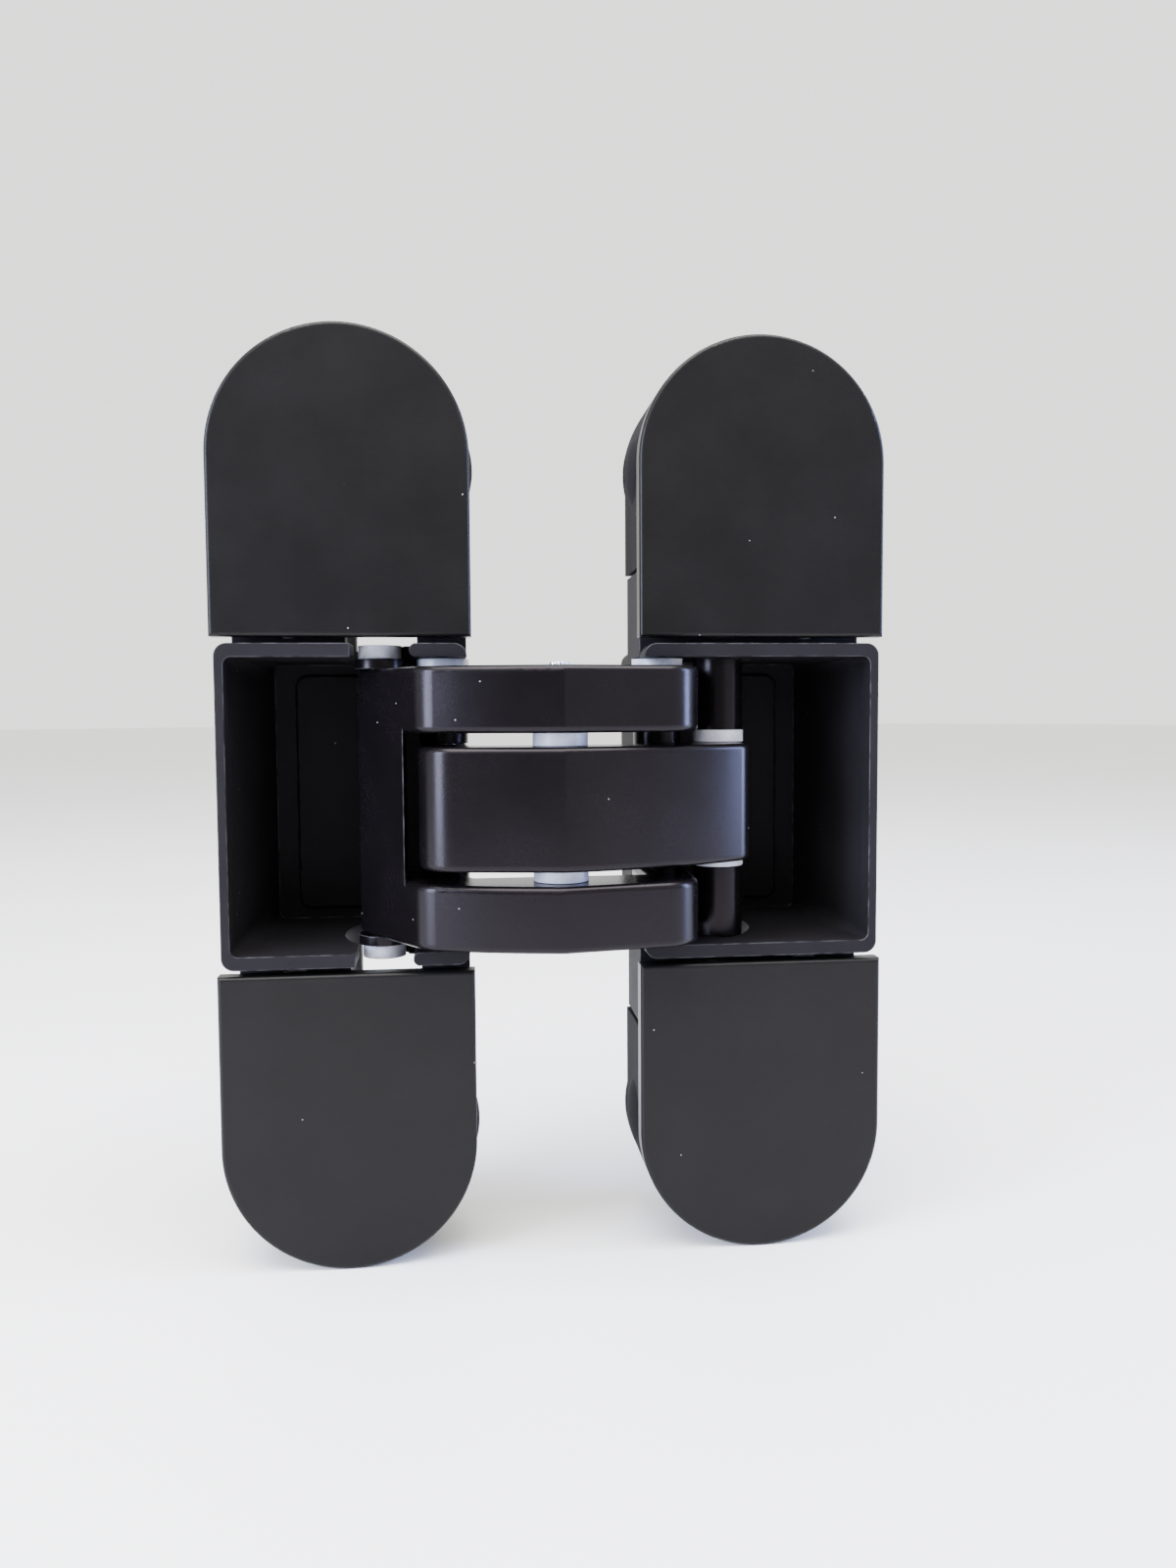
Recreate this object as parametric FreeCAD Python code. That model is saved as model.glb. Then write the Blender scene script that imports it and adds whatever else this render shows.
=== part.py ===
"""Concealed door hinge with crossed arms, lying open at 180 degrees and standing on its lower ends.

Leaf coordinates are used while modelling: X across the hinge with the closing line at 0, Y into the
door with the face plates' front at 0, Z up with the middle of the hinge at 0. The finished pieces are
moved once, so that the origin is the middle of the hinge's bounding box, on the ground.
"""
import FreeCAD, Part

import math
import os

# Heights of the stack, from the middle of the hinge up to the caps
CENTRE_ARM_HALF = 7.5
ARM_GAP = 1.65
FORK_ARM_HEIGHT = 8.1
PIVOT_WASHER_HEIGHT = 1.35
POCKET_END_WALL = 1.7
CAP_GAP = 0.8
FORK_INNER = CENTRE_ARM_HALF + ARM_GAP
ARM_STACK_HALF = FORK_INNER + FORK_ARM_HEIGHT
POCKET_INNER_HALF = ARM_STACK_HALF + PIVOT_WASHER_HEIGHT
POCKET_HALF_HEIGHT = POCKET_INNER_HALF + POCKET_END_WALL
CAP_EDGE = POCKET_HALF_HEIGHT + CAP_GAP

# Leaf
LEAF_WIDTH = 32.0
LEAF_HEIGHT = 118.5
LEAF_GAP = 21.3
END_RADIUS = LEAF_WIDTH / 2
LEAF_CENTRE = -(LEAF_GAP + LEAF_WIDTH) / 2
HALF_HEIGHT = LEAF_HEIGHT / 2

# Face caps
CAP_THICKNESS = 2.4
CAP_EDGE_ROUND = 0.5
CAP_PEG_RADIUS = 1.5
CAP_PEG_LENGTH = 3.0
CAP_PEG_FROM_SIDE = 5.0
CAP_PEG_FROM_END = 14.25
CAP_PEG_PLAY = 0.02
CAP_PEG_END_PLAY = 0.5

# Mounting blocks behind the caps
BLOCK_DEPTH = 16.0
BLOCK_FROM_CAP_EDGE = 9.3
BLOCK_SIDE_INSET = 0.4
BLOCK_EDGE_ROUND = 0.6
SCREW_HOLE_RADIUS = 2.25
SCREW_HEAD_RADIUS = 4.5
SCREW_PAIR_SPACING = 16.0
SCREW_PAIR_FROM_START = 5.6
SCREW_FROM_END = 8.25
GRIP_DOME_REACH = 4.2
GRIP_DOME_PROUD = 0.9
GRIP_DOME_FROM_START = 12.8
GRIP_DOME_FROM_BACK = 7.0
BLOCK_START = CAP_EDGE + BLOCK_FROM_CAP_EDGE
GRIP_DOME_HEIGHT = BLOCK_START + GRIP_DOME_FROM_START
GRIP_DOME_DEPTH = BLOCK_DEPTH - GRIP_DOME_FROM_BACK

# Pocket casting
POCKET_INSET = 0.6
POCKET_DEPTH = 29.0
POCKET_WALL = 1.1
POCKET_FLOOR = 1.6
POCKET_CORNER = 1.6
POCKET_INNER_CORNER = 1.0
POCKET_RIM_DEPTH = 4.0
POCKET_NECK = 0.9
POCKET_DRAFT = 2.2
POCKET_SIDE_WINDOW = 13.4
POCKET_SIDE_DEPTH = 4.0
PAD_FROM_SIDE = 6.6
PAD_TO_CENTRE = 1.6
PAD_END_INSET = 1.2
PAD_PROUD = 0.6
PAD_BEVEL = 0.6
PAD_CORNER = 2.0
NOTCH_PAST_GUIDE = 3.3
NOTCH_BEFORE_GUIDE = 4.0

# Lugs of the pocket, the blocks' tongues and the depth adjusters between them
LUG_FROM_SIDE = 2.1
LUG_TO_CENTRE = 0.1
LUG_FRONT = 4.2
LUG_FROM_FLOOR = 5.0
LUG_TOP_PLAY = 0.5
TONGUE_IN_BLOCK = 3.8
TONGUE_THICKNESS = 4.4
TONGUE_FOOT_GAP = 1.6
TONGUE_SIDE_PLAY = 0.4
ADJUST_TRAVEL = 1.2
ADJUST_PLAY = 0.3
ADJUSTER_RADIUS = 2.0
ADJUSTER_HEAD_RADIUS = 3.1
ADJUSTER_HEAD_LENGTH = 2.2
ADJUSTER_LENGTH = 17.0
ADJUSTER_FOOT_GAP = 3.9
ADJUSTER_SOCKET_RADIUS = 1.25
ADJUSTER_SOCKET_DEPTH = 1.5
EAR_PAST_PIN = 3.2
EAR_BACK = 15.0
BRIDGE_THICKNESS = 1.6
BRIDGE_PLAY = 0.3
LUG_FROM_CENTRE = LEAF_WIDTH / 2 - LUG_FROM_SIDE
LUG_BACK = POCKET_DEPTH - LUG_FROM_FLOOR
LUG_HEIGHT = BLOCK_START - LUG_TOP_PLAY
TONGUE_FRONT = BLOCK_DEPTH - TONGUE_IN_BLOCK
TONGUE_TIP = POCKET_HALF_HEIGHT + TONGUE_FOOT_GAP
ADJUSTER_HEIGHT = POCKET_HALF_HEIGHT + ADJUSTER_FOOT_GAP

# Linkage
PIVOT_FROM_SIDE = 3.65
PIVOT_Y = 8.5
CENTRE_Y = -4.5
GUIDE_PAST_PIVOT = 8.1
GUIDE_Y = 7.6
PIVOT_X = LEAF_GAP / 2 + PIVOT_FROM_SIDE
GUIDE_X = PIVOT_X + GUIDE_PAST_PIVOT
CLOSED_GAP = 6.0
SLOT_MIDDLE = 0.6

# Arms
CREASE_FRONT = 10.6
ARM_BACK = 0.3
NEAR_SLOPE = 0.18
NEAR_CORNER_RADIUS = 5.0
NEAR_EYE_RADIUS = 3.4
NEAR_LEAN = 0.35
FAR_SLOPE = 0.12
FAR_FRONT_RADIUS = 60.0
FAR_EYE_RADIUS = 3.0
FORK_SHOULDER_RADIUS = 5.0
FORK_SHOULDER_SHORT = 3.8
CENTRE_SHOULDER_RADIUS = 3.0
CENTRE_SHOULDER_PAST = 2.3
RELIEF_END_ANGLE = 292.0
RELIEF_SLOPE = 2.6
ARM_EDGE_ROUND = 0.8
SLEEVE_CLEARANCE = 0.5
WEB_FROM_CENTRE_ARM = 1.5

# Pins, sleeves and washers
PIVOT_PIN_RADIUS = 2.1
CENTRE_PIN_RADIUS = 2.1
GUIDE_PIN_RADIUS = 1.7
RUNNING_CLEARANCE = 0.05
END_CLEARANCE = 0.05
WASHER_RADIUS = 3.4
SLEEVE_RADIUS = 3.2
CENTRE_NUB_RADIUS = 1.15
CENTRE_NUB_HEIGHT = 0.5
ROLLER_RADIUS = 2.8
ROLLER_CLEARANCE = 0.35
GUIDE_SLEEVE_RADIUS = 3.3

FAR_POINT = 200.0
OVERCUT = 1.0
FUSE_LAP = 0.2
PIN_SEAT_PLAY = 0.01
FLAT = 0.01


def vec(x, y, z=0.0):
    return FreeCAD.Vector(x, y, z)


def box(x_range, y_range, z_range):
    """Box between two limits on each axis."""
    size = [limits[1] - limits[0] for limits in (x_range, y_range, z_range)]
    return Part.makeBox(*size, vec(x_range[0], y_range[0], z_range[0]))


def upright(x, y, radius, bottom, top):
    """Upright cylinder."""
    return Part.makeCylinder(radius, top - bottom, vec(x, y, bottom))


def tube(x, y, radius, bore, bottom, top):
    """Upright ring between two heights."""
    return upright(x, y, radius, bottom, top).cut(upright(x, y, bore, bottom - OVERCUT, top + OVERCUT))


def level(x, z, radius, front, back):
    """Cylinder lying along Y."""
    return Part.makeCylinder(radius, back - front, vec(x, front, z), vec(0, 1, 0))


def over(shape):
    """Copy of a shape mirrored from the upper half to the lower half."""
    return shape.mirror(vec(0, 0, 0), vec(0, 0, 1))


def across(shape):
    """Copy of a shape mirrored from the left leaf to the right leaf."""
    return shape.mirror(vec(0, 0, 0), vec(1, 0, 0))


def both_levels(shape):
    """The shape and its mirror below, as one group of solids."""
    return Part.makeCompound([shape, over(shape)])


def prism(edges, bottom, top):
    """Upright prism on a closed plan outline."""
    face = Part.Face(Part.Wire(edges))
    solid = face.extrude(vec(0, 0, top - bottom))
    solid.translate(vec(0, 0, bottom))
    return solid


def rounded_plate(x_range, z_range, radius, y):
    """Closed outline in a plane of constant Y, with round corners."""
    x0, x1 = x_range
    z0, z1 = z_range
    corners = [(x1 - radius, z0 + radius, -90), (x1 - radius, z1 - radius, 0),
               (x0 + radius, z1 - radius, 90), (x0 + radius, z0 + radius, 180)]
    edges = []
    last = None
    for cx, cz, start in corners:
        points = [vec(cx + radius * math.cos(math.radians(start + turn)), y,
                      cz + radius * math.sin(math.radians(start + turn))) for turn in (0, 45, 90)]
        if last is not None:
            edges.append(Part.makeLine(last, points[0]))
        edges.append(Part.Arc(*points).toShape())
        last = points[2]
    edges.append(Part.makeLine(last, edges[0].firstVertex().Point))
    return Part.Wire(edges)


def round_edges(solid, radius, wanted):
    """Round the edges that a test picks."""
    edges = [edge for edge in solid.Edges if wanted(edge)]
    return solid.makeFillet(radius, edges) if edges else solid


def swing_angles():
    """Turn of an arm about its own pivot, and of one arm against the other, from open to closed."""
    reach = math.hypot(PIVOT_X, PIVOT_Y - CENTRE_Y)
    half_span = PIVOT_Y + CLOSED_GAP / 2
    inward = math.sqrt(reach ** 2 - half_span ** 2)
    open_angle = math.atan2(CENTRE_Y - PIVOT_Y, PIVOT_X)
    closed_angle = math.atan2(-half_span, -inward)
    pivot_turn = open_angle - closed_angle
    return pivot_turn, 2 * pivot_turn - math.pi


def turned(x, y, angle):
    """Plan vector turned clockwise seen from above."""
    return x * math.cos(angle) + y * math.sin(angle), y * math.cos(angle) - x * math.sin(angle)


def guide_point(share):
    """Plan place of the fork's guide pin in the left pocket, from open (0) to closed (1)."""
    pivot_turn, cross_turn = swing_angles()
    cx, cy = turned(PIVOT_X, CENTRE_Y - PIVOT_Y, share * pivot_turn)
    ex, ey = turned(-GUIDE_X, GUIDE_Y - CENTRE_Y, share * (pivot_turn - cross_turn))
    return vec(cx + ex - PIVOT_X, cy + ey + PIVOT_Y)


def circle_point(centre, radius, angle):
    """Plan point on a circle at an angle in radians."""
    return vec(centre.x + radius * math.cos(angle), centre.y + radius * math.sin(angle))


def arc(centre, start, end, turn):
    """Plan arc between two points of a circle, counter-clockwise for turn 1 and clockwise for -1."""
    first = math.atan2(start.y - centre.y, start.x - centre.x)
    last = math.atan2(end.y - centre.y, end.x - centre.x)
    sweep = turn * (last - first) % (2 * math.pi)
    middle = circle_point(centre, (start - centre).Length, first + turn * sweep / 2)
    return Part.Arc(start, middle, end).toShape()


def tangent(first, first_radius, last, last_radius, side):
    """Ends of a straight line that touches two circles; a negative radius is touched from inside."""
    along = last - first
    turn = math.acos((first_radius - last_radius) / along.Length)
    angle = math.atan2(along.y, along.x) + side * turn
    return circle_point(first, first_radius, angle), circle_point(last, last_radius, angle)


def arm_outline(shoulder_radius, shoulder_reach):
    """Plan outline of the fork, with its own pivot on the right leaf and its guide end on the left.

    The front is creased over the centre pin: straight towards the arm's own pivot, slightly curved
    towards its guide end.
    """
    pivot = vec(PIVOT_X, PIVOT_Y)
    guide = vec(-GUIDE_X, GUIDE_Y)
    other = vec(-PIVOT_X, PIVOT_Y)
    crease = vec(0, -CREASE_FRONT)
    relief = SLEEVE_RADIUS + SLEEVE_CLEARANCE
    side = PIVOT_X + NEAR_EYE_RADIUS
    inner_side = PIVOT_X - NEAR_EYE_RADIUS
    near_normal = vec(NEAR_SLOPE, -1).normalize()
    corner_x = side - NEAR_LEAN - NEAR_CORNER_RADIUS
    corner = vec(corner_x, NEAR_SLOPE * corner_x - CREASE_FRONT - NEAR_CORNER_RADIUS / near_normal.y)
    near_side = corner + vec(NEAR_CORNER_RADIUS, 0)
    near_start = corner + near_normal * NEAR_CORNER_RADIUS
    far_centre = crease + vec(FAR_SLOPE, 1).normalize() * FAR_FRONT_RADIUS
    shoulder_x = shoulder_radius - shoulder_reach
    shoulder_drop = math.sqrt((FAR_FRONT_RADIUS - shoulder_radius) ** 2 - (shoulder_x - far_centre.x) ** 2)
    shoulder = vec(shoulder_x, far_centre.y - shoulder_drop)
    far_end = far_centre + (shoulder - far_centre).normalize() * FAR_FRONT_RADIUS
    shoulder_end, outer = tangent(shoulder, shoulder_radius, guide, FAR_EYE_RADIUS, 1)
    inner, relief_start = tangent(guide, FAR_EYE_RADIUS, other, -relief, 1)
    relief_end = circle_point(other, relief, math.radians(RELIEF_END_ANGLE))
    back_far = vec(relief_end.x + RELIEF_SLOPE, -ARM_BACK)
    back_near = vec(inner_side, -ARM_BACK)
    return [
        Part.makeLine(near_start, crease),
        arc(far_centre, crease, far_end, -1),
        arc(shoulder, far_end, shoulder_end, -1),
        Part.makeLine(shoulder_end, outer),
        arc(guide, outer, inner, -1),
        Part.makeLine(inner, relief_start),
        arc(other, relief_start, relief_end, 1),
        Part.makeLine(relief_end, back_far),
        Part.makeLine(back_far, back_near),
        Part.makeLine(back_near, vec(inner_side, PIVOT_Y)),
        arc(pivot, vec(inner_side, PIVOT_Y), vec(side, PIVOT_Y), -1),
        Part.makeLine(vec(side, PIVOT_Y), near_side),
        arc(corner, near_side, near_start, -1),
    ]


def round_rims(solid, radius):
    """Round the upper and lower rims of an arm, all the way round."""
    return round_edges(solid, radius, lambda edge: edge.BoundBox.ZLength < FLAT)


def arm_bores(solid):
    """Bores for the arm's own pivot, the centre pin and the guide pin."""
    far = FAR_POINT
    for x, y, radius in ((PIVOT_X, PIVOT_Y, PIVOT_PIN_RADIUS + RUNNING_CLEARANCE),
                         (0, CENTRE_Y, CENTRE_PIN_RADIUS + RUNNING_CLEARANCE),
                         (-GUIDE_X, GUIDE_Y, GUIDE_PIN_RADIUS + RUNNING_CLEARANCE)):
        solid = solid.cut(upright(x, y, radius, -far, far))
    return solid


def make_fork_arm():
    """Two outer arms joined behind the centre arm's swing by a web at the guide end."""
    edges = arm_outline(FORK_SHOULDER_RADIUS, GUIDE_X - FORK_SHOULDER_SHORT)
    upper = round_rims(prism(edges, FORK_INNER, ARM_STACK_HALF), ARM_EDGE_ROUND)
    everywhere = (-FAR_POINT, FAR_POINT)
    web_half = FORK_INNER + ARM_EDGE_ROUND + FUSE_LAP
    web = prism(edges, -web_half, web_half)
    web_edge = -PIVOT_X - NEAR_EYE_RADIUS - WEB_FROM_CENTRE_ARM
    web = web.common(box((-FAR_POINT, web_edge), everywhere, everywhere))
    fork = upper.fuse([over(upper), web]).removeSplitter()
    return arm_bores(fork)


def make_centre_arm():
    """Single arm between the fork's two, mirrored: its own pivot is on the left leaf."""
    edges = arm_outline(CENTRE_SHOULDER_RADIUS, GUIDE_X + CENTRE_SHOULDER_PAST)
    arm = round_rims(prism(edges, -CENTRE_ARM_HALF, CENTRE_ARM_HALF), ARM_EDGE_ROUND)
    return across(arm_bores(arm))


def slot_along_guide(width):
    """Plan outline of the slot that follows the guide pin from open to closed."""
    first, middle, last = guide_point(0), guide_point(SLOT_MIDDLE), guide_point(1)
    path = Part.Arc(first, middle, last).toShape().Curve
    centre = path.Center
    turn = 1 if (first - centre).cross(last - centre).z > 0 else -1
    first_side = (first - centre).normalize() * (width / 2)
    last_side = (last - centre).normalize() * (width / 2)
    return [
        arc(centre, first + first_side, last + last_side, turn),
        arc(last, last + last_side, last - last_side, turn),
        arc(centre, last - last_side, first - first_side, -turn),
        arc(first, first - first_side, first + first_side, turn),
    ]


def tub(outer):
    """Outer or inner body of the pocket, tapering a little towards its floor."""
    grow = 0.0 if outer else POCKET_WALL
    half = POCKET_HALF_HEIGHT if outer else POCKET_INNER_HALF
    left = LEAF_CENTRE - LEAF_WIDTH / 2 + POCKET_INSET + grow
    right = LEAF_CENTRE + LEAF_WIDTH / 2 - POCKET_INSET - grow
    corner = POCKET_CORNER if outer else POCKET_INNER_CORNER
    front = 0.0 if outer else -OVERCUT
    back = POCKET_DEPTH if outer else POCKET_DEPTH - POCKET_FLOOR
    neck = POCKET_RIM_DEPTH
    rim = rounded_plate((left, right), (-half, half), corner, front)
    rim_back = rounded_plate((left, right), (-half, half), corner, neck)
    inset = POCKET_NECK if outer else 0.0
    start = rounded_plate((left + inset, right - inset), (-half, half), corner, neck)
    end = rounded_plate((left + POCKET_DRAFT, right - POCKET_DRAFT / 2), (-half, half), corner, back)
    return Part.makeLoft([rim, rim_back], True, True).fuse(Part.makeLoft([start, end], True, True))


def make_pocket(notched):
    """Left pocket casting with its guide slots, lugs, pin ears and the pad on its floor."""
    pocket = tub(True)
    lug = box((LEAF_CENTRE - LUG_FROM_CENTRE, LEAF_CENTRE + LUG_TO_CENTRE), (LUG_FRONT, LUG_BACK),
              (POCKET_INNER_HALF + FUSE_LAP, LUG_HEIGHT))
    lug = lug.cut(box((-FAR_POINT, FAR_POINT),
                      (TONGUE_FRONT - ADJUST_TRAVEL - ADJUST_PLAY,
                       TONGUE_FRONT + TONGUE_THICKNESS + ADJUST_TRAVEL + ADJUST_PLAY),
                      (TONGUE_TIP - ADJUST_PLAY, FAR_POINT)))
    side = LEAF_CENTRE + LEAF_WIDTH / 2
    ear = box((-PIVOT_X - EAR_PAST_PIN, side - POCKET_INSET), (LUG_FRONT, EAR_BACK),
              (POCKET_INNER_HALF + FUSE_LAP, LUG_HEIGHT))
    pocket = pocket.fuse([lug, over(lug), ear, over(ear)])
    cavity = tub(False)
    floor = POCKET_DEPTH - POCKET_FLOOR
    pad_sides = (LEAF_CENTRE - LEAF_WIDTH / 2 + PAD_FROM_SIDE, LEAF_CENTRE + PAD_TO_CENTRE)
    pad_high = (PAD_END_INSET - POCKET_INNER_HALF, POCKET_INNER_HALF - PAD_END_INSET)
    pad_foot = rounded_plate(pad_sides, pad_high, PAD_CORNER, floor + FUSE_LAP)
    pad_top = rounded_plate((pad_sides[0] + PAD_BEVEL, pad_sides[1] - PAD_BEVEL),
                            (pad_high[0] + PAD_BEVEL, pad_high[1] - PAD_BEVEL),
                            PAD_CORNER - PAD_BEVEL, floor - PAD_PROUD)
    cavity = cavity.cut(Part.makeLoft([pad_foot, pad_top], True, True))
    pocket = pocket.cut(cavity)
    pocket = pocket.cut(box((side - POCKET_SIDE_DEPTH, side + OVERCUT), (-OVERCUT, POCKET_SIDE_WINDOW),
                            (-POCKET_INNER_HALF, POCKET_INNER_HALF)))
    slot = prism(slot_along_guide(2 * (ROLLER_RADIUS + ROLLER_CLEARANCE)), -FAR_POINT, FAR_POINT)
    pocket = pocket.cut(slot)
    if notched:
        bar_round = POCKET_END_WALL / 2
        bar_x = NOTCH_BEFORE_GUIDE - GUIDE_X + bar_round
        notch = box((-GUIDE_X - NOTCH_PAST_GUIDE, bar_x), (-OVERCUT, GUIDE_Y),
                    (POCKET_INNER_HALF - OVERCUT, FAR_POINT))
        notch = notch.cut(level(bar_x, POCKET_INNER_HALF + bar_round, bar_round, -OVERCUT, GUIDE_Y))
        pocket = pocket.cut([notch, over(notch)])
    else:
        bridge = box((LEAF_CENTRE + LUG_TO_CENTRE - FUSE_LAP, -PIVOT_X - EAR_PAST_PIN + FUSE_LAP),
                     (LUG_FRONT, LUG_FRONT + BRIDGE_THICKNESS),
                     (POCKET_HALF_HEIGHT + BRIDGE_PLAY, LUG_HEIGHT))
        pocket = pocket.fuse([bridge, over(bridge)])
    bore = upright(-PIVOT_X, PIVOT_Y, PIVOT_PIN_RADIUS + PIN_SEAT_PLAY, -FAR_POINT, FAR_POINT)
    hole = level(adjuster_x(), ADJUSTER_HEIGHT, ADJUSTER_RADIUS + RUNNING_CLEARANCE, 0, LUG_BACK + OVERCUT)
    head = level(adjuster_x(), ADJUSTER_HEIGHT, ADJUSTER_HEAD_RADIUS + RUNNING_CLEARANCE, 0,
                 LUG_FRONT + ADJUSTER_HEAD_LENGTH)
    return pocket.cut([bore, hole, over(hole), head, over(head)]).removeSplitter()


def adjuster_x():
    """Plan place of the depth adjusters, in the middle of the lugs."""
    return LEAF_CENTRE + (LUG_TO_CENTRE - LUG_FROM_CENTRE) / 2


def end_plate(front, back, start):
    """Plate with the leaf's round upper end, from a height up."""
    centre = HALF_HEIGHT - END_RADIUS
    plate = level(LEAF_CENTRE, centre, END_RADIUS, front, back)
    side = (LEAF_CENTRE - END_RADIUS, LEAF_CENTRE + END_RADIUS)
    plate = plate.fuse(box(side, (front, back), (start, centre)))
    return plate.cut(box((-FAR_POINT, FAR_POINT), (-FAR_POINT, FAR_POINT), (-FAR_POINT, start)))


def peg_places():
    """Plan place and height of the cap's two pegs."""
    spread = LEAF_WIDTH / 2 - CAP_PEG_FROM_SIDE
    return [(LEAF_CENTRE + side * spread, HALF_HEIGHT - CAP_PEG_FROM_END) for side in (-1, 1)]


def make_cap():
    """Upper left face cap: a plain plate with a round end and two clip pegs behind it."""
    cap = end_plate(0.0, CAP_THICKNESS, CAP_EDGE).removeSplitter()
    cap = round_edges(cap, CAP_EDGE_ROUND, lambda edge: edge.BoundBox.YMax < FLAT)
    pegs = [level(x, z, CAP_PEG_RADIUS, CAP_THICKNESS - FUSE_LAP, CAP_THICKNESS + CAP_PEG_LENGTH)
            for x, z in peg_places()]
    return cap.fuse(pegs)


def screw_places():
    """Wood screw holes of one block: a pair near the pocket and one in the round end."""
    half = SCREW_PAIR_SPACING / 2
    pair_height = BLOCK_START + SCREW_PAIR_FROM_START
    return [(LEAF_CENTRE - half, pair_height), (LEAF_CENTRE + half, pair_height),
            (LEAF_CENTRE, HALF_HEIGHT - SCREW_FROM_END)]


def make_block():
    """Upper left mounting block with its tongue, countersunk holes and side ribs."""
    block = end_plate(CAP_THICKNESS, BLOCK_DEPTH, BLOCK_START).removeSplitter()
    inner = LEAF_WIDTH / 2 - BLOCK_SIDE_INSET
    block = block.common(box((LEAF_CENTRE - inner, LEAF_CENTRE + inner), (0, BLOCK_DEPTH),
                             (0, HALF_HEIGHT)))
    block = round_edges(block, BLOCK_EDGE_ROUND, lambda edge: edge.BoundBox.YMin > BLOCK_DEPTH - FLAT)
    play = TONGUE_SIDE_PLAY
    tongue = box((LEAF_CENTRE - LUG_FROM_CENTRE + play, LEAF_CENTRE + LUG_TO_CENTRE - play),
                 (TONGUE_FRONT, TONGUE_FRONT + TONGUE_THICKNESS), (TONGUE_TIP, BLOCK_START + OVERCUT))
    block = block.fuse(tongue)
    dome = (GRIP_DOME_REACH ** 2 + GRIP_DOME_PROUD ** 2) / (2 * GRIP_DOME_PROUD)
    dome_high = (GRIP_DOME_HEIGHT - GRIP_DOME_REACH, GRIP_DOME_HEIGHT + GRIP_DOME_REACH)
    for side in (-1, 1):
        far_side = LEAF_CENTRE + side * (inner + GRIP_DOME_PROUD)
        ball = Part.makeSphere(dome, vec(far_side - side * dome, GRIP_DOME_DEPTH, GRIP_DOME_HEIGHT))
        reach = sorted((LEAF_CENTRE, far_side))
        block = block.fuse(ball.common(box(reach, (CAP_THICKNESS, BLOCK_DEPTH), dome_high)))
    for x, z in screw_places():
        block = block.cut(level(x, z, SCREW_HOLE_RADIUS, 0, BLOCK_DEPTH + OVERCUT))
        sink = Part.makeCone(SCREW_HEAD_RADIUS, SCREW_HOLE_RADIUS, SCREW_HEAD_RADIUS - SCREW_HOLE_RADIUS,
                             vec(x, CAP_THICKNESS, z), vec(0, 1, 0))
        block = block.cut(sink)
    for x, z in peg_places():
        block = block.cut(level(x, z, CAP_PEG_RADIUS + CAP_PEG_PLAY, 0,
                                CAP_THICKNESS + CAP_PEG_LENGTH + CAP_PEG_END_PLAY))
    hole = level(adjuster_x(), ADJUSTER_HEIGHT, ADJUSTER_RADIUS + RUNNING_CLEARANCE, 0, LUG_BACK)
    return block.cut(hole).removeSplitter()


def make_adjuster():
    """Upper left depth adjuster: a screw along Y with a hexagon socket."""
    head_front = LUG_FRONT
    screw = level(adjuster_x(), ADJUSTER_HEIGHT, ADJUSTER_HEAD_RADIUS, head_front,
                  head_front + ADJUSTER_HEAD_LENGTH - END_CLEARANCE)
    screw = screw.fuse(level(adjuster_x(), ADJUSTER_HEIGHT, ADJUSTER_RADIUS, head_front,
                             head_front + ADJUSTER_LENGTH))
    corners = []
    for step in range(7):
        angle = math.radians(60 * step)
        corners.append(vec(adjuster_x() + ADJUSTER_SOCKET_RADIUS * math.cos(angle), head_front,
                           ADJUSTER_HEIGHT + ADJUSTER_SOCKET_RADIUS * math.sin(angle)))
    socket = Part.Face(Part.makePolygon(corners)).extrude(vec(0, ADJUSTER_SOCKET_DEPTH, 0))
    return screw.cut(socket)


def make_pivot_pin():
    """Left pivot pin, as long as the pocket's two ears are high."""
    return upright(-PIVOT_X, PIVOT_Y, PIVOT_PIN_RADIUS, -LUG_HEIGHT, LUG_HEIGHT)


def make_pivot_washers():
    """Plain washers between the arms' stack and the pocket's upper and lower walls."""
    bore = PIVOT_PIN_RADIUS + RUNNING_CLEARANCE
    washer = tube(-PIVOT_X, PIVOT_Y, WASHER_RADIUS, bore, ARM_STACK_HALF + END_CLEARANCE,
                  POCKET_INNER_HALF)
    return both_levels(washer)


def make_pivot_sleeves():
    """Left pivot's sleeves, which fill the fork's levels beside the centre arm's eye."""
    bore = PIVOT_PIN_RADIUS + RUNNING_CLEARANCE
    sleeve = tube(-PIVOT_X, PIVOT_Y, SLEEVE_RADIUS, bore, CENTRE_ARM_HALF + END_CLEARANCE, ARM_STACK_HALF)
    return both_levels(sleeve)


def make_middle_sleeve():
    """Right pivot's sleeve between the fork's two eyes."""
    bore = PIVOT_PIN_RADIUS + RUNNING_CLEARANCE
    return tube(PIVOT_X, PIVOT_Y, SLEEVE_RADIUS, bore, -FORK_INNER + END_CLEARANCE,
                FORK_INNER - END_CLEARANCE)


def make_centre_pin():
    """Pin that the arms cross on, with a small knurled nub standing above the upper arm."""
    pin = upright(0, CENTRE_Y, CENTRE_PIN_RADIUS, -ARM_STACK_HALF, ARM_STACK_HALF)
    return pin.fuse(upright(0, CENTRE_Y, CENTRE_NUB_RADIUS, 0, ARM_STACK_HALF + CENTRE_NUB_HEIGHT))


def gap_washers(x, y, pin_radius):
    """Washers in the two gaps between the centre arm and its neighbours."""
    washer = tube(x, y, WASHER_RADIUS, pin_radius + RUNNING_CLEARANCE, CENTRE_ARM_HALF + END_CLEARANCE,
                  FORK_INNER - END_CLEARANCE)
    return both_levels(washer)


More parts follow.
